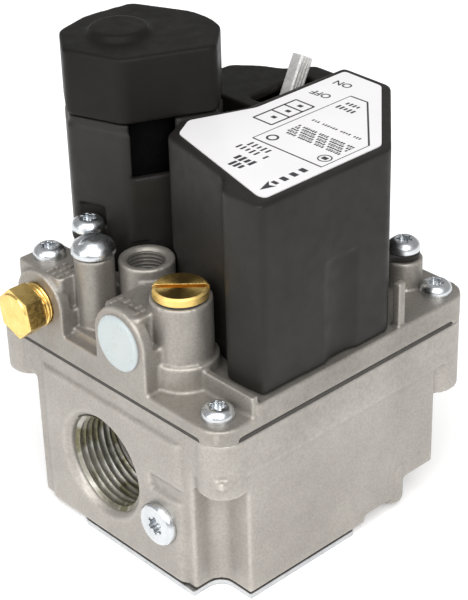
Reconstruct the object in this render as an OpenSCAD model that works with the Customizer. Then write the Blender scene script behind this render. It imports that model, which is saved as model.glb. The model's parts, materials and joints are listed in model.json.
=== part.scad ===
/* [Castings] */
// Length of the castings along the gas flow
body_l = 82.5; // [82:0.5:84]
// Width of the castings across the gas flow
body_w = 80; // [79:0.5:82]
// Height of the joint face of the lower casting
joint_z = 45; // [44:0.5:47]
// Thickness of the gasket between the castings
gasket_t = 1; // [0.6:0.1:1.2]
// Thickness of the flange of the top casting
flange_t = 6; // [5:0.5:7]
// Radius of the outer corners of both flanges
corner_r = 6; // [5:0.5:7]

/* [Ports] */
// Pitch radius of the inlet and outlet pipe threads
port_r = 12.56; // [12.4:0.01:12.6]
// Length of the threaded part of each main port
port_len = 15; // [13:0.5:16]
// Height of the axis of both main ports
port_z = 20.9; // [20.5:0.1:21.5]
// Sideways offset of the axis of both main ports
port_y = 3.3; // [3:0.1:4]
// Radius of the threaded hole for the pilot tube
pilot_r = 4.4; // [4.2:0.1:4.6]

/* [Housing] */
// Height of the flat top that carries the label
housing_top = 98.7; // [97:0.1:100]
// Height of the seam under the coil cover
seam_z = 99.7; // [99.4:0.1:101]
// Height of the flat top of the coil cover
cover_top = 115.5; // [114:0.5:117]
// Wall thickness of the plastic mouldings
wall = 2; // [1.6:0.1:2.4]

/* [Controls] */
// Lean of the toggle lever towards ON
lever_lean = 27; // [20:1:28]
// Radius of the slotted brass regulator cap
cap_r = 6.4; // [6.3:0.05:6.7]
// Opening stroke of the main valve
main_stroke = 3; // [2:0.5:3]

/* [Hidden] */
$fn = 48;
eps = 0.01;
outlet_x = -40;
front_y = -39;
inlet_x = outlet_x + body_l;
back_y = front_y + body_w;
top_z = joint_z + gasket_t;
flange_top = top_z + flange_t;

// lower casting: inner edge of the deep part, and the heights of its stepped underside
deep_x = 31;
deep_y = 27.5;
foot_x = 7;
step_x = 19;
plate_t = 1.2;
seal_t = 0.3;
floor_z = plate_t + seal_t;
foot_z = 3.5;
heel_z = 8;
flange_bottom = 35;
pad_t = 0.9;
pad_y = [-27.2, 26];
pad_top = 40;
near_notch = [8.8, 10.5, 34];
boss_low = 30.5;
gasket_cut = 6.4;
clean_out = [-14, 0, 10];

// main valve
chamber_r = 21.5;
chamber_floor = 5.5;
seat_z = 34;
seat_r = 10;
elbow_r = 12.6;
disc_t = 1.6;
seal_h = 1.6;
plate_r = 13;
stud_r = 2.5;
clamp_r = 24;
dome_r = 17;
dome_top = 60.5;

// controls on the top casting
cap_pos = [-27.7, -14.4];
tower_r = 7.15;
collar_r = 8.25;
tower_top = 69.6;
collar_top = 55.3;
tower_bore = 5.3;
vent_pos = [outlet_x, -6.8, 59.4];
vent_slab = [-12.4, -0.6, 67];
vent_arch = 8.6;
plug_pos = [outlet_x, 22.2, 57.8];
plug_slab = [15.2, 31, 66];
plug_arch = 8.3;
needle_pos = [-30.5, 12.5];
needle_top = 71;
pilot_pos = [-20.8, 5.3];
pilot_top = 69;
tap_pos = [outlet_x, -18, 15.7];
running = 0.05;
pilot_depth = 8;
filter_pocket = [3.6, 3];

// screw places: x, y, height of the seat under the head, shank length
corner_screws = [[-33.8, -32.2, flange_top - 3, 16], [36.4, -33.2, flange_top, 18],
    [-32.6, 26.7, plug_slab[2], 32], [36.4, 35, flange_top, 14]];
ear_screws = [[34, -24.8, 61.4, 8], [-25.2, 20.6, 72.8, 10]];
ear_r = 3.9;
plate_screws = [[-34, -24], [-30, 20], [1.5, -33], [3, 22]];
screw_head_r = 3.9;
screw_r = 1.8;

// solenoids: x, y, seat height, tube height, coil radius
redundant = [-7.5, 22, 61.9, 46, 11.5];
main = [18, -14, 59.5, 35, 10.5];
tube_r = 5.2;
tube_wall = 0.6;
plunger_len = 18;
plunger_stroke = 1.5;

// plastic housing
label_outline = [[-25, -37.5], [14.5, -37.8], [39.7, -14.4], [40, 1], [8, 1], [-6.6, 7],
    [-15.5, 2.5], [-17.6, -8], [-20.7, -21.5], [-25.6, -26.5]];
tower_outline = [[-25, 26], [-20, 11.6], [0.3, 2.3], [9.6, 11], [11.3, 16], [11.3, 23], [5, 37.4],
    [-8.2, 38.8], [-18, 36]];
tower_floor = 61;
ear_t = 2;
cover_centre = [-9.3, 24.9];
window_x = [1.3, 12.2];
window_z = 86;
seam_band = 2.6;
label_points = [[-21.2, -35.4], [13.9, -35.4], [37.5, -13.4], [37.8, -1.2], [8.8, -1.2], [-6.8, 4.8],
    [-12.9, 1.2], [-21.8, -33.4]];
scoop = [-1, -52, 15.2];
relief_top = 78;
rear_outline = [[12, 1.3], [40, 1.3], [40, 10.5], [33.5, 15], [31, 20.5], [26, 26.5], [12, 26.5]];
rear_base = 52.3;
rear_top = 96.5;
rear_face = 26.5;
lever_pivot = [24, 6.5, 88];
lever_len = 16.5;
terminal_x = [14.9, 19.3, 23.7];
terminal_z = [66, 78];

function unit(v) = v / norm(v);
function cross2(a, b) = a[0] * b[1] - a[1] * b[0];

// outline moved inwards by d, for a list of points that runs anticlockwise
function inset(p, d) = [for (i = [0:len(p) - 1])
    let (n = len(p), u = unit(p[i] - p[(i + n - 1) % n]), v = unit(p[(i + 1) % n] - p[i]),
         k = cross2(u, v), m = [-u[1], u[0]], w = [-v[1], v[0]])
    abs(k) < 0.02 ? p[i] + d * m : p[i] + d * (v - u) / k];

// outline with every corner cut back by an arc that starts d from the corner
function rounded(p, d, steps = 4) = [for (i = [0:len(p) - 1], t = [0:steps])
    let (n = len(p), s = t / steps,
         a = p[i] + d * unit(p[(i + n - 1) % n] - p[i]),
         b = p[i] + d * unit(p[(i + 1) % n] - p[i]))
    (1 - s) * (1 - s) * a + 2 * s * (1 - s) * p[i] + s * s * b];

module rounded_plate(x0, y0, x1, y1, r, z0, z1) {
    translate([0, 0, z0]) linear_extrude(z1 - z0) {
        translate([x0 + r, y0]) square([x1 - x0 - 2 * r, y1 - y0]);
        translate([x0, y0 + r]) square([x1 - x0, y1 - y0 - 2 * r]);
        for (x = [x0 + r, x1 - r], y = [y0 + r, y1 - r])
            translate([x, y]) circle(r);
    }
}

module post(p, r, z0, z1) {
    translate([p[0], p[1], z0]) cylinder(r = r, h = z1 - z0);
}

module ring(p, r_out, r_in, z0, z1) {
    difference() {
        post(p, r_out, z0, z1);
        post(p, r_in, z0 - 1, z1 + 1);
    }
}

module block(x0, x1, y0, y1, z0, z1) {
    translate([x0, y0, z0]) cube([x1 - x0, y1 - y0, z1 - z0]);
}

// cylinder along X from x0 to x1, on the axis at [y, z]
module rod_x(y, z, r, x0, x1) {
    translate([x0, y, z]) rotate([0, 90, 0]) cylinder(r = r, h = x1 - x0);
}

module star_recess(r, h) {
    linear_extrude(h) {
        circle(r * 0.72);
        for (a = [0:60:300])
            rotate(a) translate([r * 0.76, 0]) circle(r * 0.24);
    }
}

// pan-head screw that stands at the origin with its head upwards
module pan_screw(head_r, shank_r, length) {
    head_h = 2.6;
    difference() {
        union() {
            rotate_extrude() polygon([[0, 0], [head_r, 0], [head_r, 1], [head_r - 0.3, 1.8],
                [head_r - 1.3, head_h], [0, head_h]]);
            translate([0, 0, -length]) cylinder(r = shank_r, h = length + eps);
        }
        translate([0, 0, head_h - 1.5]) star_recess(2.1, 2);
    }
}

// coil spring on the Z axis, from z = 0 to z = h
module coil_spring(r, wire_r, h, turns) {
    steps = 10;
    sides = 6;
    n = turns * steps;
    points = [for (i = [0:n], k = [0:sides - 1])
        let (a = 360 * i / steps, b = 360 * k / sides, rr = r + wire_r * cos(b))
        [rr * cos(a), rr * sin(a), wire_r + (h - 2 * wire_r) * i / n + wire_r * sin(b)]];
    skin = [for (i = [0:n - 1], k = [0:sides - 1])
        let (a = i * sides + k, b = i * sides + (k + 1) % sides)
        each [[a, a + sides, b], [b, a + sides, b + sides]]];
    ends = [[for (k = [0:sides - 1]) k], [for (k = [sides - 1:-1:0]) n * sides + k]];
    polyhedron(points = points, faces = concat(skin, ends));
}

// ---- castings ----

module near_corner_notch(z0) {
    rounded_plate(outlet_x - 20, front_y - 20, outlet_x + near_notch[0], front_y + near_notch[1], 4, z0,
        near_notch[2]);
}

module lower_walls() {
    lift = 0.4;
    difference() {
        union() {
            rounded_plate(outlet_x + pad_t, front_y, inlet_x, back_y, corner_r, flange_bottom, joint_z);
            block(outlet_x + pad_t, foot_x, front_y + lift, deep_y, floor_z, flange_bottom + 1);
            block(foot_x - 1, step_x, front_y + lift, deep_y, foot_z, flange_bottom + 1);
            block(step_x - 1, deep_x, front_y + lift, deep_y, heel_z, flange_bottom + 1);
            rounded_plate(outlet_x, pad_y[0], outlet_x + 12, pad_y[1], 4, floor_z, pad_top);
        }
        near_corner_notch(-1);
    }
    post([outlet_x + corner_r + 0.4, front_y + corner_r], corner_r, boss_low, joint_z);
    post([outlet_x + corner_r, back_y - corner_r], corner_r, 33.5, joint_z);
    post([inlet_x - corner_r, front_y + corner_r], corner_r, 26.5, joint_z);
    post([inlet_x - corner_r, back_y - corner_r], corner_r, 26.5, joint_z);
    post([18.6, front_y + 3.8], 3.7, 1.8, 12);
    rod_x(port_y, port_z, 17, deep_x - 4, inlet_x);
    block(deep_x - 4, inlet_x - 2, port_y - 12, port_y + 12, port_z, flange_bottom + 1);
}

module outlet_elbow(r, drop) {
    rod_x(port_y, port_z, r, outlet_x + port_len, 0);
    translate([0, port_y, port_z]) sphere(r = r);
    post([0, port_y], r, port_z, seat_z - drop);
}

module valve_body() {
    color([0.78, 0.76, 0.73]) difference() {
        lower_walls();
        difference() {
            post([0, port_y], chamber_r, chamber_floor, joint_z + 1);
            outlet_elbow(elbow_r, 0);
        }
        rod_x(port_y, port_z, port_r, outlet_x - 1, outlet_x + port_len);
        rod_x(port_y, port_z, port_r, inlet_x - port_len, inlet_x + 1);
        rod_x(port_y, port_z, seat_r, outlet_x + port_len - 1, 0);
        rod_x(port_y, port_z, seat_r, chamber_r - 4, inlet_x - port_len + 1);
        translate([0, port_y, port_z]) sphere(r = seat_r);
        post([0, port_y], seat_r, port_z, seat_z + 1);
        for (s = [-1, 1])
            translate([(s < 0 ? outlet_x : inlet_x) + s * eps, port_y, port_z]) rotate([0, -s * 90, 0])
                cylinder(r1 = 14, r2 = port_r, h = 1.4);
        post(clean_out, clean_out[2], floor_z - 1, chamber_floor + 1);
        translate([outlet_x - 1, tap_pos[1], tap_pos[2]]) rotate([0, 90, 0]) cylinder(r = 4.6, h = 12);
        block(outlet_x - 1, outlet_x + 0.9, -25.9, -14.8, 24, 28);
        for (s = corner_screws)
            post(s, screw_r, joint_z - 12, joint_z + 1);
        for (s = plate_screws)
            post(s, 1.5, floor_z - 1, floor_z + 7);
    }
}

module plate_outline(z0, z1) {
    difference() {
        translate([0, 0, z0]) linear_extrude(z1 - z0)
            polygon([[outlet_x + 0.1, front_y + 0.5], [2.7, front_y + 0.5], [foot_x, front_y + 6],
                [foot_x, deep_y - 0.3], [outlet_x + 8, deep_y - 0.3], [outlet_x + 0.1, 10.4]]);
        near_corner_notch(z0 - 1);
        for (s = plate_screws)
            post(s, 1.7, z0 - 1, z1 + 1);
    }
}

module bottom_plate() {
    color([0.70, 0.70, 0.72]) difference() {
        plate_outline(0, plate_t);
        for (s = plate_screws)
            translate([s[0], s[1], -eps]) cylinder(r1 = 3.2, r2 = 1.7, h = plate_t);
    }
}

module bottom_gasket() {
    color([0.25, 0.24, 0.23]) difference() {
        intersection() {
            plate_outline(plate_t, floor_z);
            block(outlet_x + 1, foot_x - 1, front_y + 1.1, deep_y - 1.2, 0, floor_z);
        }
        post(clean_out, clean_out[2], 0, floor_z + 1);
    }
}

module bottom_screws() {
    color([0.75, 0.76, 0.78]) for (s = plate_screws)
        translate([s[0], s[1], 0]) difference() {
            union() {
                cylinder(r1 = 3.1, r2 = 1.55, h = plate_t);
                translate([0, 0, plate_t - eps]) cylinder(r = 1.45, h = 6);
            }
            translate([0, 0, -eps]) star_recess(1.5, 0.8);
        }
}

// plan of the joint face, with its four corners cut off square to the diagonals
module cut_corners(edge, cut, z0, z1) {
    x = [outlet_x + edge, inlet_x - edge];
    y = [front_y + edge, back_y - edge];
    translate([0, 0, z0]) linear_extrude(z1 - z0)
        polygon([[x[0] + cut, y[0]], [x[1] - cut, y[0]], [x[1], y[0] + cut], [x[1], y[1] - cut],
            [x[1] - cut, y[1]], [x[0] + cut, y[1]], [x[0], y[1] - cut], [x[0], y[0] + cut]]);
}

module body_gasket() {
    color([0.27, 0.26, 0.24]) difference() {
        cut_corners(0.1, gasket_cut, joint_z, top_z);
        post([0, port_y], clamp_r, 0, top_z + 1);
        for (s = corner_screws)
            post(s, 2.1, 0, top_z + 1);
    }
}

// block with an arched face around a side port, and a flat slab on top
module port_block(p, arch, slab) {
    block(outlet_x, -29.4, p[1] - arch + 0.05, p[1] + arch - 0.05, top_z, p[2]);
    rod_x(p[1], p[2], arch, outlet_x, outlet_x + 3);
    rounded_plate(outlet_x + 1.2, slab[0], -27, slab[1], 1, top_z, slab[2]);
}

module top_blocks() {
    port_block(plug_pos, plug_arch, plug_slab);
    port_block(vent_pos, vent_arch, vent_slab);
    rounded_plate(-37, 0, -14, 16, 3, top_z, 53.2);
    post(cap_pos, collar_r, top_z, collar_top);
    post(cap_pos, tower_r, top_z, tower_top);
    post(needle_pos, 4.7, top_z, needle_top);
    post(pilot_pos, 6.6, top_z, pilot_top);
    block(-26.5, -18, -6, 5.3, top_z, pilot_top - 3);
    post(ear_screws[1], 3.6, top_z, ear_screws[1][2] - ear_t);
}

module top_ribs() {
    for (s = [corner_screws[1], corner_screws[3]])
        post(s, 5.2, top_z, s[2]);
    post(ear_screws[0], 4.6, top_z, ear_screws[0][2] - ear_t);
    block(17.6, 19.8, -38.4, -36.4, top_z, 63.5);
    block(-29.2, -27.4, front_y + 0.6, -21.5, top_z, flange_top + 2);
    post([0, port_y], dome_r, top_z, dome_top);
    post(redundant, 8, top_z, redundant[2]);
    post(main, 8, top_z, main[2]);
}

// flange, lower around the near corner, with lips that close the joint at its four corners
module top_flange() {
    difference() {
        rounded_plate(outlet_x, front_y, inlet_x, back_y, corner_r, joint_z, flange_top);
        cut_corners(0, gasket_cut + 0.1, joint_z - 1, top_z);
        block(outlet_x - 1, -28.3, front_y - 1, vent_pos[1] - vent_arch + 0.5, corner_screws[0][2],
            flange_top + 1);
    }
}

module top_casting() {
    color([0.74, 0.72, 0.69]) difference() {
        union() {
            top_flange();
            top_blocks();
            top_ribs();
        }
        post([0, port_y], clamp_r - 2.5, top_z - 1, top_z + main_stroke + 1.6);
        post([0, port_y], dome_r - 3, top_z, dome_top - 2.5);
        post([0, port_y], 5, dome_top - 3, dome_top + 1);
        post(cap_pos, tower_bore, top_z + 2, 90);
        post(cap_pos, 7, top_z - 1, top_z + 2.6);
        post(needle_pos, 2.6, 56, needle_top + 1);
        post(pilot_pos, pilot_r, pilot_top - pilot_depth, pilot_top + 1);
        post(pilot_pos, filter_pocket[0], pilot_top - pilot_depth - filter_pocket[1], pilot_top - 1);
        post(pilot_pos, 2, flange_top, pilot_top);
        translate([pilot_pos[0], pilot_pos[1], pilot_top - 0.7]) cylinder(r1 = pilot_r, r2 = 5.2, h = 0.71);
        rod_x(plug_pos[1], plug_pos[2], 5.05, outlet_x - 1, outlet_x + 5);
        rod_x(vent_pos[1], vent_pos[2], 4.5, outlet_x - 1, outlet_x + 6);
        for (s = corner_screws)
            post(s, 2.1, top_z - 1, s[2] + 1);
        for (s = ear_screws)
            post(s, 1.6, s[2] - 12, s[2] + 1);
        for (s = [redundant, main])
            post(s, 1.6, top_z + 3, s[2] + 1);
    }
}

// ---- plugs, screws and screen ----

module cover_screws() {
    color([0.80, 0.82, 0.84]) for (s = corner_screws)
        translate([s[0], s[1], s[2]]) pan_screw(screw_head_r, screw_r - 0.1, s[3]);
}

module housing_screws() {
    color([0.80, 0.82, 0.84]) for (s = ear_screws)
        translate([s[0], s[1], s[2]]) pan_screw(screw_head_r, 1.5, s[3]);
}

module inlet_screen() {
    color([0.62, 0.63, 0.62]) translate([inlet_x - port_len - 0.6, port_y, port_z]) rotate([0, 90, 0])
        difference() {
            cylinder(r = seat_r - 0.6, h = 0.4);
            for (x = [-6:3:6], y = [-6:3:6])
                if (norm([x, y]) < 8)
                    translate([x, y, -1]) cylinder(r = 1, h = 3);
        }
}

module screen_ring() {
    color([0.70, 0.70, 0.72]) difference() {
        rod_x(port_y, port_z, seat_r - 0.05, inlet_x - port_len - 1.8, inlet_x - port_len - 0.2);
        rod_x(port_y, port_z, seat_r - 1.4, inlet_x - port_len - 3, inlet_x);
        rod_x(port_y, port_z, seat_r - 0.55, inlet_x - port_len - 0.65, inlet_x);
    }
}

module hex_plug() {
    reach = 4.6;
    neck = 2.6;
    color([0.80, 0.62, 0.30]) translate([plug_pos[0], plug_pos[1], plug_pos[2]]) rotate([0, -90, 0]) {
        translate([0, 0, -5]) cylinder(r = 5, h = 5 + neck);
        translate([0, 0, neck - eps]) rotate(12) cylinder(r = 6.3, h = reach, $fn = 6);
        translate([0, 0, neck + reach - 2 * eps]) cylinder(r1 = 5.3, r2 = 4.9, h = 0.4);
    }
}

module tap_plug() {
    color([0.80, 0.82, 0.84]) translate(tap_pos) rotate([0, -90, 0]) difference() {
        union() {
            translate([0, 0, -9]) cylinder(r = 4.5, h = 9 + eps);
            rotate_extrude() polygon([[0, 0], [5.4, 0], [5.4, 1.3], [4.9, 1.9], [0, 1.9]]);
        }
        translate([0, 0, 0.2]) star_recess(2.4, 3);
    }
}

module vent_plug() {
    color([0.90, 0.92, 0.91]) translate(vent_pos) rotate([0, -90, 0]) {
        translate([0, 0, -5]) cylinder(r = 4.3, h = 5 + eps);
        rotate_extrude() polygon([[0, 0], [6.8, 0], [6.8, 0.5], [6.3, 0.9], [0, 1.2]]);
    }
}

module base_plug() {
    color([0.70, 0.70, 0.72]) difference() {
        post([0, port_y], 5, dome_top - 2.5, dome_top + 0.6);
        translate([-4, port_y - 0.6, dome_top]) cube([8, 1.2, 2]);
    }
}

// ---- main valve ----

module valve_seal() {
    color([0.12, 0.12, 0.12]) ring([0, port_y], 12.4, stud_r + 0.1, seat_z, seat_z + seal_h);
}

module main_valve_disc() {
    hub = seat_z + seal_h;
    color([0.76, 0.76, 0.77]) {
        post([0, port_y], 12.4, hub, hub + disc_t);
        post([0, port_y], stud_r, seat_z, top_z + 3);
        post([0, port_y], 5, hub, joint_z - 1.4);
    }
}

module diaphragm_plates() {
    color([0.72, 0.73, 0.75]) {
        ring([0, port_y], plate_r, stud_r + 0.05, joint_z - 1.4, joint_z);
        ring([0, port_y], plate_r, stud_r + 0.05, top_z, top_z + 1.2);
    }
}

module main_diaphragm() {
    color([0.15, 0.15, 0.15]) {
        ring([0, port_y], clamp_r - 0.1, stud_r + 0.4, joint_z, top_z);
    }
}

module main_spring() {
    color([0.82, 0.82, 0.84]) translate([0, port_y, top_z + 1.25])
        coil_spring(9, 0.5, dome_top - 2.6 - top_z - 1.25, 5);
}

// ---- regulator ----

module cap_ring() {
    color([0.10, 0.10, 0.10]) ring(cap_pos, 6.2, tower_bore + 0.1, tower_top, tower_top + 0.5);
}

module regulator_cap() {
    base = tower_top + 0.5;
    color([0.80, 0.62, 0.30]) difference() {
        translate([cap_pos[0], cap_pos[1], 0]) union() {
            translate([0, 0, tower_top - 3.2]) cylinder(r = tower_bore - running, h = 3.8);
            translate([0, 0, base]) rotate_extrude()
                polygon([[0, 0], [cap_r, 0], [cap_r, 1.5], [cap_r - 0.5, 2], [0, 2]]);
        }
        post(cap_pos, 4, tower_top - 4, tower_top - 0.5);
        translate([cap_pos[0], cap_pos[1], base + 1]) rotate(-44) cube([20, 1.6, 2.4], center = true);
    }
}

module spring_seat() {
    color([0.70, 0.70, 0.72]) post(cap_pos, 4.6, 57.9, 58.9);
}

module adjust_screw() {
    color([0.80, 0.62, 0.30]) difference() {
        post(cap_pos, tower_bore - running, 59, 62);
        translate([cap_pos[0], cap_pos[1], 62]) cube([7, 1.2, 2.4], center = true);
    }
}

module regulator_spring() {
    color([0.82, 0.82, 0.84]) translate([cap_pos[0], cap_pos[1], 50.1]) coil_spring(3.6, 0.4, 7.7, 5);
}

module regulator_plate() {
    color([0.72, 0.73, 0.75]) {
        post(cap_pos, 4.7, 49, 50);
        post(cap_pos, 1.2, 47.9, 49.5);
    }
}

module regulator_diaphragm() {
    color([0.15, 0.15, 0.15]) ring(cap_pos, 6.9, 1.4, 47.2, 47.8);
}

// ---- pilot line ----

module needle_ring() {
    color([0.10, 0.10, 0.10]) ring(needle_pos, 4.3, 2.7, needle_top, needle_top + 0.6);
}

module pilot_needle() {
    head = needle_top + 0.6;
    color([0.80, 0.82, 0.84]) translate([needle_pos[0], needle_pos[1], 0]) difference() {
        union() {
            translate([0, 0, 60]) cylinder(r = 2.55, h = head - 60 + eps);
            translate([0, 0, 57.5]) cylinder(r1 = 0.4, r2 = 2.55, h = 2.5 + eps);
            translate([0, 0, head]) rotate_extrude()
                polygon([[0, 0], [5.2, 0], [5.2, 1], [4.6, 2.2], [2.6, 3.6], [0, 4]]);
        }
        translate([0, 0, head + 4]) cube([12, 1.2, 2.4], center = true);
    }
}

module pilot_filter() {
    low = pilot_top - pilot_depth - filter_pocket[1];
    color([0.62, 0.63, 0.62]) ring(pilot_pos, filter_pocket[0] - 0.05, 2.2, low, low + 2);
}

// ---- solenoids ----

module solenoid_tube(s) {
    color([0.78, 0.79, 0.80]) {
        ring(s, tube_r, tube_r - tube_wall, s[2], s[2] + s[3]);
        ring(s, 7.4, tube_r - eps, s[2], s[2] + 1);
    }
}

module solenoid_pole(s) {
    color([0.60, 0.61, 0.62])
        post(s, tube_r - tube_wall, s[2] + 2 + plunger_len + plunger_stroke, s[2] + s[3]);
}

module solenoid_plunger(s) {
    color([0.66, 0.67, 0.68]) difference() {
        post(s, tube_r - tube_wall - 0.08, s[2] + 2, s[2] + 2 + plunger_len);
        post(s, 3, s[2] + plunger_len - 4, s[2] + plunger_len + 5);
    }
}

module solenoid_seal(s) {
    color([0.12, 0.12, 0.12]) {
        post(s, 3, s[2], s[2] + 2);
    }
}

module solenoid_spring(s) {
    color([0.82, 0.82, 0.84]) translate([s[0], s[1], s[2] + plunger_len - 3.95])
        coil_spring(2.3, 0.3, 5.9 + plunger_stroke, 5);
}

module solenoid_bobbin(s) {
    low = s[2] + 3;
    high = s[2] + s[3] - 4;
    color([0.20, 0.20, 0.20]) {
        ring(s, tube_r + 1.2, tube_r + 0.1, low, high);
        ring(s, s[4], tube_r + 1, low, low + 1);
        ring(s, s[4], tube_r + 1, high - 1, high);
    }
}

module solenoid_coil(s) {
    color([0.70, 0.42, 0.20])
        ring(s, s[4] - 1, tube_r + 1.2, s[2] + 4, s[2] + s[3] - 5);
}

module solenoid_bracket(s) {
    low = s[2] + 1.2;
    high = s[2] + s[3] - 3.5;
    side = s[4] + 1;
    color([0.78, 0.79, 0.81]) difference() {
        union() {
            block(s[0] - 6, s[0] + side + 1.2, s[1] - 6, s[1] + 6, low, low + 1.2);
            block(s[0] - 6, s[0] + side + 1.2, s[1] - 6, s[1] + 6, high, high + 1.2);
            block(s[0] + side, s[0] + side + 1.2, s[1] - 6, s[1] + 6, low, high + 1.2);
        }
        post(s, tube_r + 0.1, low - 1, high + 3);
    }
}

module redundant_tube() { solenoid_tube(redundant); }
module redundant_pole() { solenoid_pole(redundant); }
module redundant_plunger() { solenoid_plunger(redundant); }
module redundant_seal() { solenoid_seal(redundant); }
module redundant_spring() { solenoid_spring(redundant); }
module redundant_bobbin() { solenoid_bobbin(redundant); }
module redundant_coil() { solenoid_coil(redundant); }
module redundant_bracket() { solenoid_bracket(redundant); }
module main_tube() { solenoid_tube(main); }
module main_pole() { solenoid_pole(main); }
module main_plunger() { solenoid_plunger(main); }
module main_seal() { solenoid_seal(main); }
module plunger_spring() { solenoid_spring(main); }
module main_bobbin() { solenoid_bobbin(main); }
module main_coil() { solenoid_coil(main); }
module main_bracket() { solenoid_bracket(main); }

// ---- plastic mouldings ----

module outline_wall(points, d, z0, z1) {
    translate([0, 0, z0]) linear_extrude(z1 - z0) polygon(rounded(inset(points, d), 1.6));
}

// clearance around the things that the housing wraps, grown by g
module housing_reliefs(g) {
    low = flange_top - 1;
    post([0, port_y], dome_r + 0.4 + g, low, dome_top + 0.8 + g);
    post(pilot_pos, 7 + g, low, pilot_top + 1 + g);
    block(-26.8 - g, -17.8 + g, -6.2 - g, 5.5 + g, low, pilot_top + 1 + g);
    post(ear_screws[0], 5 + g, low, ear_screws[0][2] - ear_t);
    post(ear_screws[1], 4 + g, low, ear_screws[1][2] - ear_t);
    translate([scoop[0], scoop[1], low]) cylinder(r = scoop[2] + g, h = relief_top + g - low);
    for (s = ear_screws)
        post(s, screw_head_r + 0.3 + g, s[2] - g, s[2] + 5 + g);
}

// opening in the front wall of the tower, set out along that wall
module coil_window() {
    run = tower_outline[2] - tower_outline[1];
    translate(tower_outline[1]) rotate(atan2(run[1], run[0]))
        block(window_x[0], window_x[1], -0.5, wall + 0.6, window_z, seam_z + 1);
}

module housing_cavity() {
    difference() {
        union() {
            outline_wall(label_outline, wall, flange_top - 1, housing_top - wall);
            outline_wall(tower_outline, wall, tower_floor - 1, seam_z + 1);
        }
        housing_reliefs(wall * 0.8);
    }
    post(main, main[4] + 0.3, flange_top, housing_top - wall);
    post(redundant, redundant[4] + 0.3, flange_top, seam_z + 1);
}

module switch_housing() {
    color([0.22, 0.21, 0.20]) difference() {
        union() {
            outline_wall(label_outline, 0, flange_top + 0.3, housing_top);
            outline_wall(tower_outline, 0, tower_floor, seam_z - seam_band);
            outline_wall(tower_outline, 0.5, tower_floor, seam_z - 0.3);
            for (s = ear_screws)
                post(s, ear_r, s[2] - ear_t, s[2]);
            translate([ear_screws[0][0], ear_screws[0][1], ear_screws[0][2] - ear_t]) rotate(133)
                translate([0, -ear_r, 0]) cube([5.5, 2 * ear_r, ear_t]);
        }
        housing_cavity();
        housing_reliefs(0);
        coil_window();
        for (s = ear_screws)
            post(s, 1.8, s[2] - 3, s[2] + 1);
    }
}

module label() {
    color([0.93, 0.92, 0.93]) translate([0, 0, housing_top]) linear_extrude(0.25)
        polygon(rounded(label_points, 1));
}

module coil_cover() {
    rim = 1.6;
    color([0.20, 0.19, 0.18]) difference() {
        union() {
            outline_wall(tower_outline, 0, seam_z, cover_top);
            translate([cover_centre[0], cover_centre[1], cover_top - eps])
                cylinder(r1 = 7.9, r2 = 6.4, h = rim);
        }
        outline_wall(tower_outline, wall, seam_z - 1, cover_top - wall);
    }
}

module rear_cover() {
    slot = [lever_pivot[0] - 8.5, lever_pivot[0] + 9.5];
    color([0.20, 0.19, 0.18]) difference() {
        outline_wall(rear_outline, 0, rear_base, rear_top);
        outline_wall(rear_outline, wall, rear_base - 1, rear_top - wall);
        post([0, port_y], dome_r + 0.4, rear_base - 1, dome_top + 0.8);
        block(slot[0], slot[1], lever_pivot[1] - 2.2, lever_pivot[1] + 2.2, rear_top - 4, rear_top + 1);
        block(12.5, 26, rear_face - 4, rear_face + 1, terminal_z[0] - 0.1, terminal_z[1] + 0.1);
    }
}

module lever_pin_shape() {
    translate([lever_pivot[0], lever_pivot[1] - 2.7, lever_pivot[2]]) rotate([-90, 0, 0])
        cylinder(r = 1, h = 6);
}

module switch_body() {
    color([0.30, 0.12, 0.10]) difference() {
        block(lever_pivot[0] - 6.2, lever_pivot[0] + 10, lever_pivot[1] - 2.8, lever_pivot[1] + 5, 72, 92);
        block(lever_pivot[0] - 5.2, lever_pivot[0] + 9, lever_pivot[1] - 2, lever_pivot[1] + 2, 84, 93);
        lever_pin_shape();
    }
}

module lever_pin() {
    color([0.70, 0.70, 0.72]) lever_pin_shape();
}

module toggle_lever() {
    color([0.80, 0.81, 0.83]) translate(lever_pivot) rotate([0, lever_lean, 0]) difference() {
        union() {
            rotate([-90, 0, 0]) translate([0, 0, -1.8]) cylinder(r = 2.6, h = 3.6);
            translate([-2.1, -1.3, 0]) cube([4.2, 2.6, lever_len]);
            for (x = [-1.75:1:1.25])
                translate([x, -1.7, 5]) cube([0.5, 3.4, lever_len - 5]);
        }
        rotate([-90, 0, 0]) translate([0, 0, -4]) cylinder(r = 1 + running, h = 8);
    }
}

module terminal_block() {
    color([0.85, 0.84, 0.80]) difference() {
        block(12.6, 25.9, rear_face - 3.9, rear_face, terminal_z[0], terminal_z[1]);
        for (x = terminal_x)
            block(x - 0.4, x + 0.4, rear_face - 7, rear_face + 1, terminal_z[0] + 2.9, terminal_z[1] - 2.9);
    }
}

module terminals() {
    mid = (terminal_z[0] + terminal_z[1]) / 2;
    color([0.80, 0.80, 0.76]) for (x = terminal_x) difference() {
        block(x - 0.4, x + 0.4, rear_face - 8, rear_face + 6.4, terminal_z[0] + 2.9, terminal_z[1] - 2.9);
        translate([x - 1, rear_face + 3.6, mid]) rotate([0, 90, 0]) cylinder(r = 0.9, h = 2);
    }
}

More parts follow.
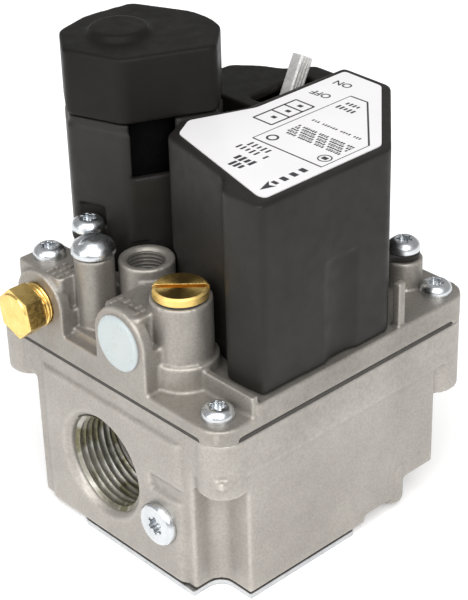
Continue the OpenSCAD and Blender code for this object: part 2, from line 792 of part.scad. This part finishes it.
valve_body();
bottom_plate();
bottom_gasket();
bottom_screws();
body_gasket();
top_casting();
cover_screws();
housing_screws();
inlet_screen();
screen_ring();
hex_plug();
tap_plug();
vent_plug();
main_diaphragm();
diaphragm_plates();
main_valve_disc();
valve_seal();
main_spring();
cap_ring();
regulator_cap();
spring_seat();
adjust_screw();
regulator_spring();
regulator_plate();
regulator_diaphragm();
needle_ring();
pilot_needle();
pilot_filter();
redundant_tube();
redundant_pole();
redundant_plunger();
redundant_seal();
redundant_spring();
redundant_bobbin();
redundant_coil();
redundant_bracket();
main_tube();
main_pole();
main_plunger();
main_seal();
plunger_spring();
main_bobbin();
main_coil();
main_bracket();
switch_housing();
label();
coil_cover();
rear_cover();
switch_body();
lever_pin();
toggle_lever();
terminal_block();
terminals();
base_plug();
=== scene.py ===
"""Looks of a furnace gas valve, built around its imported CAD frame. Lengths are in metres."""

import json
import math

import bpy
import bmesh
from mathutils import Matrix, Vector


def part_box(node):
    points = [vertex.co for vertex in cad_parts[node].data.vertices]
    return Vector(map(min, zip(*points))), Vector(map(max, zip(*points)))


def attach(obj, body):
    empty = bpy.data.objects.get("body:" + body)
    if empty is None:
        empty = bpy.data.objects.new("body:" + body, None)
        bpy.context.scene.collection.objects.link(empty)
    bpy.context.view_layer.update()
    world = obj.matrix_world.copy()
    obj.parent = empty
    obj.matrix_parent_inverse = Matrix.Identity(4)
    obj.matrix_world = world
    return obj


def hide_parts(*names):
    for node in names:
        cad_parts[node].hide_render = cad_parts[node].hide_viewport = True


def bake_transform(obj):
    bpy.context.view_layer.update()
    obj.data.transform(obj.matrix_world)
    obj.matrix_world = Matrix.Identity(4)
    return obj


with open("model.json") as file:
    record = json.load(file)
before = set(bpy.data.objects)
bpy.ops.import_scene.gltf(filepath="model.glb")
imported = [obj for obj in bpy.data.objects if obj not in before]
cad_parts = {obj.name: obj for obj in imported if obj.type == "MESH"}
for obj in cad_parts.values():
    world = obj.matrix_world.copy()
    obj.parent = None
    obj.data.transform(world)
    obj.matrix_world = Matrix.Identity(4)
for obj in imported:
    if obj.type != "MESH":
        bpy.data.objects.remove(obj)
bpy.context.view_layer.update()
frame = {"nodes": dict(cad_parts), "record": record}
nodes = frame["nodes"]
record = frame["record"]
slot_of = {s["node"]: s["material_slot"] for s in record["subparts"]}
body_of = {n: b for b, members in record["behaviour"]["bodies"].items() for n in members}
MM = 0.001


# ---- materials ----


class Shader:
    """A node material with a principled surface, object coordinates and a rounded-edge normal."""

    def __init__(self, name, colour, rough, metal=0.0, edge=0.35 * MM, **sockets):
        self.material = bpy.data.materials.new(name)
        self.material.use_nodes = True
        self.tree = self.material.node_tree
        self.surface = self.tree.nodes["Principled BSDF"]
        self.surface.inputs["Base Color"].default_value = (*colour, 1)
        self.surface.inputs["Roughness"].default_value = rough
        self.surface.inputs["Metallic"].default_value = metal
        for socket, value in sockets.items():
            self.surface.inputs[socket.replace("_", " ")].default_value = value
        self.place = self.tree.nodes.new("ShaderNodeTexCoord").outputs["Object"]
        rounded = self.tree.nodes.new("ShaderNodeBevel")
        rounded.samples = 4
        rounded.inputs["Radius"].default_value = edge
        self.normal = rounded.outputs["Normal"]
        self.tree.links.new(self.normal, self.surface.inputs["Normal"])

    def noise(self, scale, detail=4.0, distortion=0.0, rough=0.55):
        node = self.tree.nodes.new("ShaderNodeTexNoise")
        node.inputs["Scale"].default_value = scale
        node.inputs["Detail"].default_value = detail
        node.inputs["Roughness"].default_value = rough
        node.inputs["Distortion"].default_value = distortion
        self.tree.links.new(self.place, node.inputs["Vector"])
        return node.outputs["Fac"]

    def cells(self, scale):
        node = self.tree.nodes.new("ShaderNodeTexVoronoi")
        node.inputs["Scale"].default_value = scale
        self.tree.links.new(self.place, node.inputs["Vector"])
        return node.outputs["Distance"]

    def rings(self, scale, centre):
        """Fine rings around an upright axis through centre."""
        shift = self.tree.nodes.new("ShaderNodeMapping")
        shift.inputs["Location"].default_value = (-centre.x, -centre.y, 0)
        self.tree.links.new(self.place, shift.inputs["Vector"])
        node = self.tree.nodes.new("ShaderNodeTexWave")
        node.wave_type = "RINGS"
        node.rings_direction = "Z"
        node.inputs["Scale"].default_value = scale
        self.tree.links.new(shift.outputs["Vector"], node.inputs["Vector"])
        return node.outputs["Fac"]

    def convexity(self):
        """Above 0.5 on outer corners and below it on inner ones."""
        return self.tree.nodes.new("ShaderNodeNewGeometry").outputs["Pointiness"]

    def turned(self, strength):
        """Stretches the highlights around the piece's upright axis, as lathe marks do."""
        tangent = self.tree.nodes.new("ShaderNodeTangent")
        tangent.direction_type = "RADIAL"
        tangent.axis = "Z"
        self.surface.inputs["Anisotropic"].default_value = strength
        self.tree.links.new(tangent.outputs["Tangent"], self.surface.inputs["Tangent"])

    def curve(self, value, low, high, out_low, out_high):
        node = self.tree.nodes.new("ShaderNodeMapRange")
        limits = {"From Min": low, "From Max": high, "To Min": out_low, "To Max": out_high}
        for socket, number in limits.items():
            node.inputs[socket].default_value = number
        self.tree.links.new(value, node.inputs["Value"])
        return node.outputs["Result"]

    def tint(self, value, *stops):
        """Base colour from a value, through (position, colour) stops."""
        node = self.tree.nodes.new("ShaderNodeValToRGB")
        ramp = node.color_ramp
        while len(ramp.elements) < len(stops):
            ramp.elements.new(0.5)
        for element, (position, colour) in zip(ramp.elements, stops):
            element.position = position
            element.color = (*colour, 1)
        self.tree.links.new(value, node.inputs["Fac"])
        self.tree.links.new(node.outputs["Color"], self.surface.inputs["Base Color"])
        return node.outputs["Color"]

    def shade(self, value, low=0.3, high=0.7, weakest=0.8):
        """Darkens the base colour where value is low."""
        mix = self.tree.nodes.new("ShaderNodeMix")
        mix.data_type = "RGBA"
        mix.blend_type = "MULTIPLY"
        mix.inputs["Factor"].default_value = 1
        links = self.surface.inputs["Base Color"].links
        if links:
            self.tree.links.new(links[0].from_socket, mix.inputs["A"])
        else:
            mix.inputs["A"].default_value = self.surface.inputs["Base Color"].default_value
        self.tree.links.new(self.curve(value, low, high, weakest, 1.0), mix.inputs["B"])
        self.tree.links.new(mix.outputs["Result"], self.surface.inputs["Base Color"])

    def rough(self, value, low, high):
        self.tree.links.new(self.curve(value, 0.3, 0.7, low, high), self.surface.inputs["Roughness"])

    def bump(self, value, height, strength=1.0):
        node = self.tree.nodes.new("ShaderNodeBump")
        node.inputs["Distance"].default_value = height
        node.inputs["Strength"].default_value = strength
        self.tree.links.new(value, node.inputs["Height"])
        self.tree.links.new(self.normal, node.inputs["Normal"])
        self.normal = node.outputs["Normal"]
        self.tree.links.new(self.normal, self.surface.inputs["Normal"])


def cast_metal(name, dark, light):
    s = Shader(name, light, 0.5, 0.7, edge=0.5 * MM)
    s.tint(s.noise(45, 5, 0.4), (0.3, dark), (0.7, light))
    # Painted highlight on outer edges and painted shade in creases and inner corners, taken from the
    # surface's pointiness.
    s.shade(s.convexity(), 0.45, 0.55, 0.54)
    s.shade(s.noise(1500, 3), 0.32, 0.62, 0.84)
    s.shade(s.cells(420), 0.05, 0.5, 0.97)
    s.rough(s.noise(350, 5), 0.42, 0.54)
    s.bump(s.noise(260, 4), 0.1 * MM, 0.16)
    s.bump(s.noise(1800, 3), 0.04 * MM, 0.4)
    return s.material


def moulded_plastic(name, dark, light, shine=0.22):
    s = Shader(name, light, 0.5, 0.0, edge=0.5 * MM, Specular_IOR_Level=shine)
    s.tint(s.noise(60, 4), (0.3, dark), (0.75, light))
    s.rough(s.noise(300, 4), 0.42, 0.56)
    s.bump(s.noise(2600, 3, rough=0.7), 0.05 * MM, 0.4)
    return s.material


def machined_brass(name, centre=None):
    """Brass, with turning marks around an upright axis through centre where one is given."""
    s = Shader(name, (0.86, 0.61, 0.21), 0.25, 1.0, edge=0.25 * MM)
    s.tint(s.noise(300, 4, 0.6), (0.3, (0.8, 0.54, 0.16)), (0.7, (0.92, 0.67, 0.25)))
    s.shade(s.noise(120, 3), 0.3, 0.55, 0.93)
    s.rough(s.noise(900, 4), *((0.34, 0.44) if centre else (0.2, 0.34)))
    if centre:
        s.bump(s.rings(420, centre), 0.03 * MM, 0.5)
        s.turned(0.8)
    return s.material


def zinc_plate():
    s = Shader("zinc_plate", (0.62, 0.64, 0.66), 0.28, 1.0, edge=0.3 * MM)
    s.tint(s.noise(160, 3, 0.5), (0.3, (0.54, 0.56, 0.58)), (0.7, (0.68, 0.7, 0.72)))
    s.rough(s.noise(500, 3), 0.22, 0.34)
    return s.material


def bright_pin():
    """Satin drawn metal with a fine mottle."""
    s = Shader("drawn_zinc", (0.82, 0.81, 0.79), 0.38, 0.55, edge=0.2 * MM)
    s.shade(s.noise(900, 2), 0.35, 0.6, 0.82)
    s.rough(s.noise(500, 3), 0.3, 0.44)
    return s.material


# Near-black, rough wrap for the redundant coil: partly the coil's own black tape, partly painted shade
# for the dark recess around it.
def coil_tape_and_shade():
    s = Shader("coil_tape_and_shade", (0.003, 0.003, 0.003), 0.9, 0.0, Specular_IOR_Level=0.05)
    s.shade(s.noise(700, 3), 0.3, 0.6, 0.7)
    return s.material


def plain_steel():
    s = Shader("plain_steel", (0.55, 0.56, 0.57), 0.35, 1.0)
    s.shade(s.noise(300, 5, 1.0), 0.3, 0.6, 0.85)
    s.rough(s.noise(700, 4), 0.26, 0.42)
    s.bump(s.noise(1500, 3), 0.02 * MM, 0.5)
    return s.material


def spring_wire():
    s = Shader("spring_wire", (0.6, 0.6, 0.62), 0.28, 1.0, edge=0.05 * MM)
    s.rough(s.noise(1500, 3), 0.2, 0.36)
    return s.material


def tinned_brass():
    s = Shader("tinned_brass", (0.72, 0.7, 0.62), 0.3, 1.0, edge=0.1 * MM)
    s.shade(s.noise(600, 4), 0.3, 0.6, 0.85)
    s.rough(s.noise(900, 3), 0.24, 0.4)
    return s.material


def rubber(name, colour):
    s = Shader(name, colour, 0.75)
    s.shade(s.noise(500, 4), 0.3, 0.6, 0.75)
    s.bump(s.noise(1800, 3), 0.04 * MM, 0.5)
    return s.material


def vent_plastic():
    s = Shader("vent_plastic", (0.44, 0.452, 0.443), 0.32, 0.0, edge=0.3 * MM, Subsurface_Weight=0.15)
    s.shade(s.noise(160, 3), 0.3, 0.65, 0.95)
    s.rough(s.noise(700, 3), 0.26, 0.4)
    s.bump(s.noise(900, 2), 0.02 * MM, 0.4)
    return s.material


def label_film():
    s = Shader("label_film", (0.76, 0.75, 0.757), 0.34, 0.0, edge=0.05 * MM)
    s.shade(s.noise(70, 3), 0.3, 0.65, 0.965)
    s.rough(s.noise(400, 3), 0.28, 0.4)
    s.bump(s.noise(500, 2), 0.01 * MM, 0.3)
    return s.material


def label_ink():
    s = Shader("label_ink", (0.03, 0.03, 0.035), 0.45, 0.0, edge=0.02 * MM)
    s.shade(s.noise(900, 3), 0.3, 0.6, 0.7)
    return s.material


def switch_plastic():
    s = Shader("switch_plastic", (0.16, 0.05, 0.035), 0.4)
    s.shade(s.noise(300, 3), 0.3, 0.6, 0.8)
    s.bump(s.noise(1500, 2), 0.02 * MM, 0.4)
    return s.material


def enamelled_copper():
    s = Shader("enamelled_copper", (0.55, 0.22, 0.08), 0.3, 0.9)
    s.shade(s.noise(600, 3), 0.3, 0.6, 0.8)
    return s.material


def thread_metal():
    s = Shader("thread_metal", (0.45, 0.43, 0.38), 0.4, 0.8, edge=0.08 * MM)
    s.tint(s.noise(140, 5, 1.2), (0.36, (0.42, 0.41, 0.375)), (0.6, (0.15, 0.14, 0.08)))
    s.rough(s.noise(500, 3), 0.3, 0.55)
    s.bump(s.noise(1400, 3), 0.03 * MM, 0.5)
    return s.material


def floor_paint():
    s = Shader("floor_paint", (0.93, 0.93, 0.93), 0.6, 0.0, edge=0.0)
    s.surface.inputs["Emission Color"].default_value = (1, 1, 1, 1)
    s.surface.inputs["Emission Strength"].default_value = 0.16
    s.shade(s.noise(4, 2), 0.3, 0.7, 0.995)
    return s.material


SOFT_BLACK = moulded_plastic("moulded_plastic", (0.011, 0.0098, 0.0086), (0.0175, 0.0156, 0.0137))
LOOKS = {
    "casting": cast_metal("cast_metal", (0.42, 0.391, 0.356), (0.52, 0.486, 0.445)),
    "steel": plain_steel(),
    "zinc_plating": zinc_plate(),
    "spring_steel": spring_wire(),
    "brass": machined_brass("machined_brass"),
    "tinned_brass": tinned_brass(),
    "gasket": rubber("gasket_paper", (0.04, 0.036, 0.031)),
    "seal_rubber": rubber("seal_rubber", (0.03, 0.03, 0.03)),
    "black_plastic": SOFT_BLACK,
    "vent_plastic": vent_plastic(),
    "label_film": label_film(),
    "switch_plastic": switch_plastic(),
    "copper_winding": enamelled_copper(),
}
DEEP_BLACK = moulded_plastic("cover_plastic", (0.0055, 0.005, 0.0044), (0.0095, 0.0086, 0.0076), 0.13)
NODE_LOOKS = {
    "coil_cover": DEEP_BLACK,
    "rear_cover": DEEP_BLACK,
    # The top casting takes the same cast metal made darker: painted shade for the dimmer light among the
    # towers.
    "top_casting": cast_metal("cast_metal_upper_painted_shade", (0.33, 0.307, 0.276), (0.44, 0.41, 0.37)),
    "toggle_lever": bright_pin(),
    "redundant_coil": coil_tape_and_shade(),
    "regulator_cap": machined_brass("turned_brass", sum(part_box("regulator_cap"), Vector()) / 2),
}
INK = label_ink()
THREAD = thread_metal()
# Cast metal made much darker for the thread inside the pilot bore: painted shade of the bore.
SHADED_BORE = cast_metal("bore_metal_painted_shade", (0.16, 0.15, 0.135), (0.22, 0.205, 0.185))


def look_of(node):
    return NODE_LOOKS.get(node, LOOKS[slot_of[node]])


# ---- helpers ----


def add_mesh(name, points, faces, material, body):
    mesh = bpy.data.meshes.new(name)
    mesh.from_pydata([tuple(p) for p in points], [], faces)
    mesh.validate()
    mesh.materials.append(material)
    piece = bpy.data.objects.new(name, mesh)
    bpy.context.scene.collection.objects.link(piece)
    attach(piece, body)
    return piece


def smooth_by_angle(mesh, degrees=30):
    limit = math.radians(degrees)
    work = bmesh.new()
    work.from_mesh(mesh)
    bmesh.ops.remove_doubles(work, verts=work.verts, dist=0.001 * MM)
    for face in work.faces:
        face.smooth = True
    for edge in work.edges:
        edge.smooth = len(edge.link_faces) == 2 and edge.calc_face_angle(math.pi) < limit
    work.to_mesh(mesh)
    work.free()


def softened(node, voxel, rounds, keep=1.0):
    """A copy of a CAD node, with corners eased as on a casting, that stands for the node."""
    mesh = nodes[node].data.copy()
    smooth_by_angle(mesh)
    piece = bpy.data.objects.new("soft_" + node, mesh)
    bpy.context.scene.collection.objects.link(piece)
    remesh = piece.modifiers.new("remesh", "REMESH")
    remesh.mode = "VOXEL"
    remesh.voxel_size = voxel
    ease = piece.modifiers.new("ease", "SMOOTH")
    ease.factor = 0.5
    ease.iterations = rounds
    if keep < 1:
        thin = piece.modifiers.new("thin", "DECIMATE")
        thin.ratio = keep
    final = bpy.data.meshes.new_from_object(piece.evaluated_get(bpy.context.evaluated_depsgraph_get()))
    piece.modifiers.clear()
    piece.data = final
    final.materials.clear()
    final.materials.append(look_of(node))
    for polygon in final.polygons:
        polygon.use_smooth = True
    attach(piece, body_of[node])
    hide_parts(node)
    return piece


def smoothed(node, degrees=40):
    """A copy of a CAD node with its round faces shaded smooth, that stands for the node."""
    piece = bpy.data.objects.new("smooth_" + node, nodes[node].data.copy())
    smooth_by_angle(piece.data, degrees)
    bpy.context.scene.collection.objects.link(piece)
    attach(piece, body_of[node])
    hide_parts(node)
    return piece


def compressed(node):
    """A copy of a CAD spring, fixed where the CAD frame puts it."""
    piece = bpy.data.objects.new("flexing_" + node, nodes[node].data.copy())
    bpy.context.scene.collection.objects.link(piece)
    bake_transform(piece)
    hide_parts(node)
    return piece


def helix(name, centre, along, radius, crest, pitch, turns, material, body, start_angle=0.0):
    """A thread ridge on a round wall, from centre along a direction; crest is its height off the wall."""
    along = Vector(along).normalized()
    side = along.orthogonal().normalized()
    up = along.cross(side)
    steps = 56
    count = int(turns * steps)
    sunk = math.copysign(0.05 * MM, crest)
    points = []
    for i in range(count + 1):
        angle = start_angle + 2 * math.pi * i / steps
        out = side * math.cos(angle) + up * math.sin(angle)
        fade = min(1, i / 20, (count - i) / 20)
        base = Vector(centre) + along * (pitch * i / steps)
        profile = ((-0.46, -sunk), (-0.07, crest * fade), (0.07, crest * fade), (0.46, -sunk))
        for offset, height in profile:
            points.append(base + along * (offset * pitch) + out * (radius + height))
    faces = []
    for i in range(count):
        for k in range(4):
            a = 4 * i + k
            b = 4 * i + (k + 1) % 4
            faces.append((a, b, b + 4, a + 4))
    faces.append((3, 2, 1, 0))
    faces.append(tuple(4 * count + k for k in range(4)))
    piece = add_mesh(name, points, faces, material, body)
    smooth_by_angle(piece.data, 20)
    return piece


# ---- carried-over CAD nodes ----

for name, piece in nodes.items():
    for index in range(len(piece.material_slots)):
        piece.material_slots[index].material = look_of(name)

for name, voxel, rounds, keep in (
    ("valve_body", 0.45 * MM, 3, 0.35),
    ("top_casting", 0.4 * MM, 4, 0.4),
    ("switch_housing", 0.4 * MM, 8, 0.4),
    ("coil_cover", 0.45 * MM, 10, 0.45),
    ("rear_cover", 0.45 * MM, 8, 0.45),
):
    softened(name, voxel, rounds, keep)
for name in (
    "cover_screws",
    "housing_screws",
    "bottom_screws",
    "hex_plug",
    "tap_plug",
    "vent_plug",
    "base_plug",
    "pilot_needle",
    "regulator_cap",
):
    smoothed(name)

for name, body in (
    ("main_spring", "main_valve"),
    ("redundant_spring", "redundant_valve"),
    ("plunger_spring", "pilot_valve"),
):
    compressed(name)
compressed("regulator_spring")

# ---- threads ----

port_pitch = 25.4 * MM / 14
port_radius = 12.56 * MM
port_depth = 0.95 * MM
port_axis = Vector((0, 3.3 * MM, 20.9 * MM))
outlet_end, inlet_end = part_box("valve_body")
for name, face, way in (("outlet_thread", outlet_end.x, 1), ("inlet_thread", inlet_end.x, -1)):
    mouth = Vector((face + way * 1.6 * MM, port_axis.y, port_axis.z))
    helix(name, mouth, (way, 0, 0), port_radius, -port_depth, port_pitch, 7, THREAD, "valve")

pilot_top = Vector((-20.8 * MM, 5.3 * MM, 68.2 * MM))
helix("pilot_thread", pilot_top, (0, 0, -1), 4.4 * MM, -0.14 * MM, 0.94 * MM, 7, SHADED_BORE, "valve")

plug_low, plug_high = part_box("hex_plug")
plug_axis = (plug_low + plug_high) / 2
neck = Vector((-40.1 * MM, plug_axis.y, plug_axis.z))
helix("plug_thread", neck, (-1, 0, 0), 5 * MM, 0.35 * MM, 0.9 * MM, 2.7, LOOKS["brass"], "valve")

# ---- raised marks on the casting ----
# Short plain bars, in place of the letters that a foundry casts into such a block.


BOX_FACES = ((3, 2, 1, 0), (4, 5, 6, 7), (0, 1, 5, 4), (1, 2, 6, 5), (2, 3, 7, 6), (3, 0, 4, 7))
MARK_STEP = Vector((2.4, 1.9, 0)) * MM
MARK_SIZE = Vector((1.9, 0.7, 0.3)) * MM


def cast_marks(name, near, rows):
    """Rows of small raised bars from the corner near, along +Y in a row and row after row along +X."""
    points = []
    faces = []
    for row, marks in enumerate(rows):
        for place, share in enumerate(marks):
            x0 = near.x + row * MARK_STEP.x
            y0 = near.y + place * MARK_STEP.y
            x1 = x0 + MARK_SIZE.x * share
            y1 = y0 + MARK_SIZE.y
            first = len(points)
            for z in (near.z - 0.2 * MM, near.z + MARK_SIZE.z):
                points += [(x0, y0, z), (x1, y0, z), (x1, y1, z), (x0, y1, z)]
            faces += [tuple(first + k for k in face) for face in BOX_FACES]
    return add_mesh(name, points, faces, NODE_LOOKS["top_casting"], "valve")


vent_corner = Vector((-38.2, -10.4, 67)) * MM
plug_corner = Vector((-38.2, 16.4, 66)) * MM
cast_marks("vent_marks", vent_corner, ((1, 0.6, 1, 0.8, 1), (0.7, 1, 0.5, 1, 0.7)))
cast_marks("plug_marks", plug_corner, ((1, 0.6, 1), (0.7, 1, 0.5), (1, 0.8, 0.6)))


# ---- label print ----
# Sizes and places on the label are in millimetres.
# Plain bars stand in for all print but the switch marks.

label_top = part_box("label")[1].z + 0.02 * MM
WORD_PATTERN = (1, 0.72, 1, 0.85, 0, 0.9, 1, 0.7, 0.95, 1, 0.8, 0)


def print_shapes(name, shapes):
    """One printed piece made of flat shapes, each a list of corners that runs anticlockwise."""
    points = []
    faces = []
    for shape in shapes:
        n = len(shape)
        first = len(points)
        points += [(x * MM, y * MM, label_top - 0.02 * MM) for x, y in shape]
        points += [(x * MM, y * MM, label_top + 0.03 * MM) for x, y in shape]
        faces.append(tuple(first + k for k in reversed(range(n))))
        faces.append(tuple(first + n + k for k in range(n)))
        for k in range(n):
            a = first + k
            b = first + (k + 1) % n
            faces.append((a, b, b + n, a + n))
    return add_mesh(name, points, faces, INK, "valve")


def bar(x, y, along, across):
    return [
        (x - along / 2, y - across / 2),
        (x + along / 2, y - across / 2),
        (x + along / 2, y + across / 2),
        (x - along / 2, y + across / 2),
    ]


def line(start, end, width):
    a = Vector(start)
    b = Vector(end)
    side = (b - a).orthogonal().normalized() * width / 2
    return [a - side, b - side, b + side, a + side]


def outline(corners, widths):
    ends = corners[1:] + corners[:1]
    return [line(a, b, width) for a, b, width in zip(corners, ends, widths)]


def text_row(x, start, end, height, pitch, weight=0.5):
    """Bars in word-like groups along Y, in place of a row of print."""
    count = int(abs(end - start) / pitch)
    shapes = []
    for i in range(count):
        share = WORD_PATTERN[(i + int(10 * x)) % len(WORD_PATTERN)]
        if share:
            shapes.append(bar(x, start + pitch * (i + 0.5), height * share, pitch * weight))
    return shapes


def ring(x, y, radius, width, steps=20):
    turns = [2 * math.pi * i / steps for i in range(steps + 1)]
    spots = [(math.cos(t), math.sin(t)) for t in turns]
    return [
        [
            (x + (radius - width) * a[0], y + (radius - width) * a[1]),
            (x + radius * a[0], y + radius * a[1]),
            (x + radius * b[0], y + radius * b[1]),
            (x + (radius - width) * b[0], y + (radius - width) * b[1]),
        ]
        for a, b in zip(spots, spots[1:])
    ]


def print_word(name, word, x, y, size, turn):
    curve = bpy.data.curves.new(name, "FONT")
    curve.body = word
    curve.size = size * MM
    curve.align_x = "CENTER"
    curve.align_y = "CENTER"
    curve.extrude = 0.03 * MM
    curve.offset = 0.03 * MM
    curve.materials.append(INK)
    piece = bpy.data.objects.new(name, curve)
    bpy.context.scene.collection.objects.link(piece)
    piece.matrix_world = Matrix.Translation((x * MM, y * MM, label_top)) @ Matrix.Rotation(turn, 4, "Z")
    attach(piece, "valve")


print_word("word_off", "OFF", 24.3, -6.6, 3.2, math.radians(95))
print_word("word_on", "ON", 32.0, -6.3, 3.2, math.radians(95))

# flow arrow with a swept-back head, and four bars behind it
print_shapes("arrow_head", [
    [(-19.7, -32.0), (-16.2, -33.3), (-16.9, -31.9)],
    [(-19.7, -32.0), (-16.9, -31.9), (-15.6, -30.4)],
])
flow_marks = [bar(x, -32.0, 1.4, 1.9) for x in (-12.6, -9.7, -6.9)]
print_shapes("flow_marks", flow_marks + [bar(-15.2, -31.9, 1.0, 1.7)])

# terminal map: three boxes, each with a short bar
box_edges = outline([(4.5, -10.5), (18.1, -10.5), (18.1, -4.6), (4.5, -4.6)], (0.45, 0.45, 0.45, 0.45))
dividers = [line((x, -10.5), (x, -4.6), 0.45) for x in (10.2, 14.3)]
terminal_bars = [bar(x, -7.9, 1.1, 1.3) for x in (7.8, 12.3, 16.2)]
print_shapes("terminal_map", box_edges + dividers + terminal_bars)

# bordered panel, two round marks and rows of bars
panel = [(-3.1, -33.7), (11.7, -33.7), (28.4, -17.5), (28.2, -12.3), (-3.1, -12.4)]
print_shapes("panel", outline(panel, (0.2, 0.42, 0.4, 0.2, 0.36)))
near_mark = ring(0.5, -31.2, 1.7, 0.3) + [bar(0.5, -31.2, 1.2, 1.5)]
print_shapes("round_marks", ring(0, -15.5, 1.5, 0.5) + near_mark)
for i in range(5):
    print_shapes(f"panel_row_{i}", text_row(4.1 + 1.12 * i, -32.3, -14.3, 0.85, 0.72, 0.6))
print_shapes("panel_note", text_row(12.8, -30.3, -14.6, 0.8, 0.8))
for name, first_row, second_row in (
    ("panel_title", (22.1, -19.5, -13.6, 1.7, 1.15), (24.7, -18.6, -13.8, 1.4, 1.1)),
    ("adjust_rows", (-14.9, -21.9, -16.5, 2.3, 1.35, 0.62), (-12.1, -23.9, -13.8, 2.3, 1.5, 0.62)),
    ("origin_rows", (-8.1, -22.4, -12.6, 1.9, 1.4, 0.4), (-5.6, -22.0, -13.2, 1.9, 1.4, 0.4)),
):
    print_shapes(name, text_row(*first_row) + text_row(*second_row))

# ---- stage, light and camera ----

bpy.ops.mesh.primitive_plane_add(size=8, location=(0, 0, -0.0002))
floor = bpy.context.object
floor.name = "floor"
floor.data.materials.append(floor_paint())

world = bpy.data.worlds.new("studio")
world.use_nodes = True
world.node_tree.nodes["Background"].inputs["Color"].default_value = (1, 1, 1, 1)
world.node_tree.nodes["Background"].inputs["Strength"].default_value = 0.45
bpy.context.scene.world = world
bpy.context.scene.view_settings.view_transform = "Standard"


def soft_light(name, place, size, power):
    """A square lamp that faces the middle of the object."""
    data = bpy.data.lights.new(name, "AREA")
    data.size = size
    data.energy = power
    lamp = bpy.data.objects.new(name, data)
    bpy.context.scene.collection.objects.link(lamp)
    target = Vector((0, 0, 50 * MM))
    lamp.location = place
    lamp.rotation_euler = (target - Vector(place)).to_track_quat("-Z", "Y").to_euler()
    return lamp


def soft_sun(name, toward, strength, spread):
    """Even light over the whole floor, from a wide patch of sky."""
    data = bpy.data.lights.new(name, "SUN")
    data.energy = strength
    data.angle = math.radians(spread)
    lamp = bpy.data.objects.new(name, data)
    bpy.context.scene.collection.objects.link(lamp)
    lamp.rotation_euler = Vector(toward).to_track_quat("Z", "Y").to_euler()
    return lamp


soft_sun("sky", (-0.45, -0.4, 0.9), 2.4, 70)
soft_light("key", (-0.3, -0.75, 0.6), 0.4, 3)
soft_light("side", (-0.8, 0.05, 0.4), 0.4, 2.5)

AZIMUTH = math.radians(-42.58)
ELEVATION = math.radians(30.54)
ROLL = math.radians(-1.49)
CAMERA_PLACE = (-0.2518, -0.2789, 0.2690)
level = math.cos(ELEVATION)
back = Vector((math.sin(AZIMUTH) * level, -math.cos(AZIMUTH) * level, math.sin(ELEVATION)))
right = Vector((math.cos(AZIMUTH), math.sin(AZIMUTH), 0))
up = back.cross(right)
rolled_right = right * math.cos(ROLL) + up * math.sin(ROLL)
rolled_up = up * math.cos(ROLL) - right * math.sin(ROLL)
lens = bpy.data.cameras.new("camera")
lens.lens = 108.6
lens.sensor_width = 36
lens.shift_x = -0.0177
lens.shift_y = 0.0221
lens.clip_start = 0.01
camera = bpy.data.objects.new("camera", lens)
bpy.context.scene.collection.objects.link(camera)
turn = Matrix((rolled_right, rolled_up, back)).transposed().to_4x4()
camera.matrix_world = Matrix.Translation(CAMERA_PLACE) @ turn
bpy.context.scene.camera = camera


def corners(box):
    return [list(map(float, corner)) for corner in box]
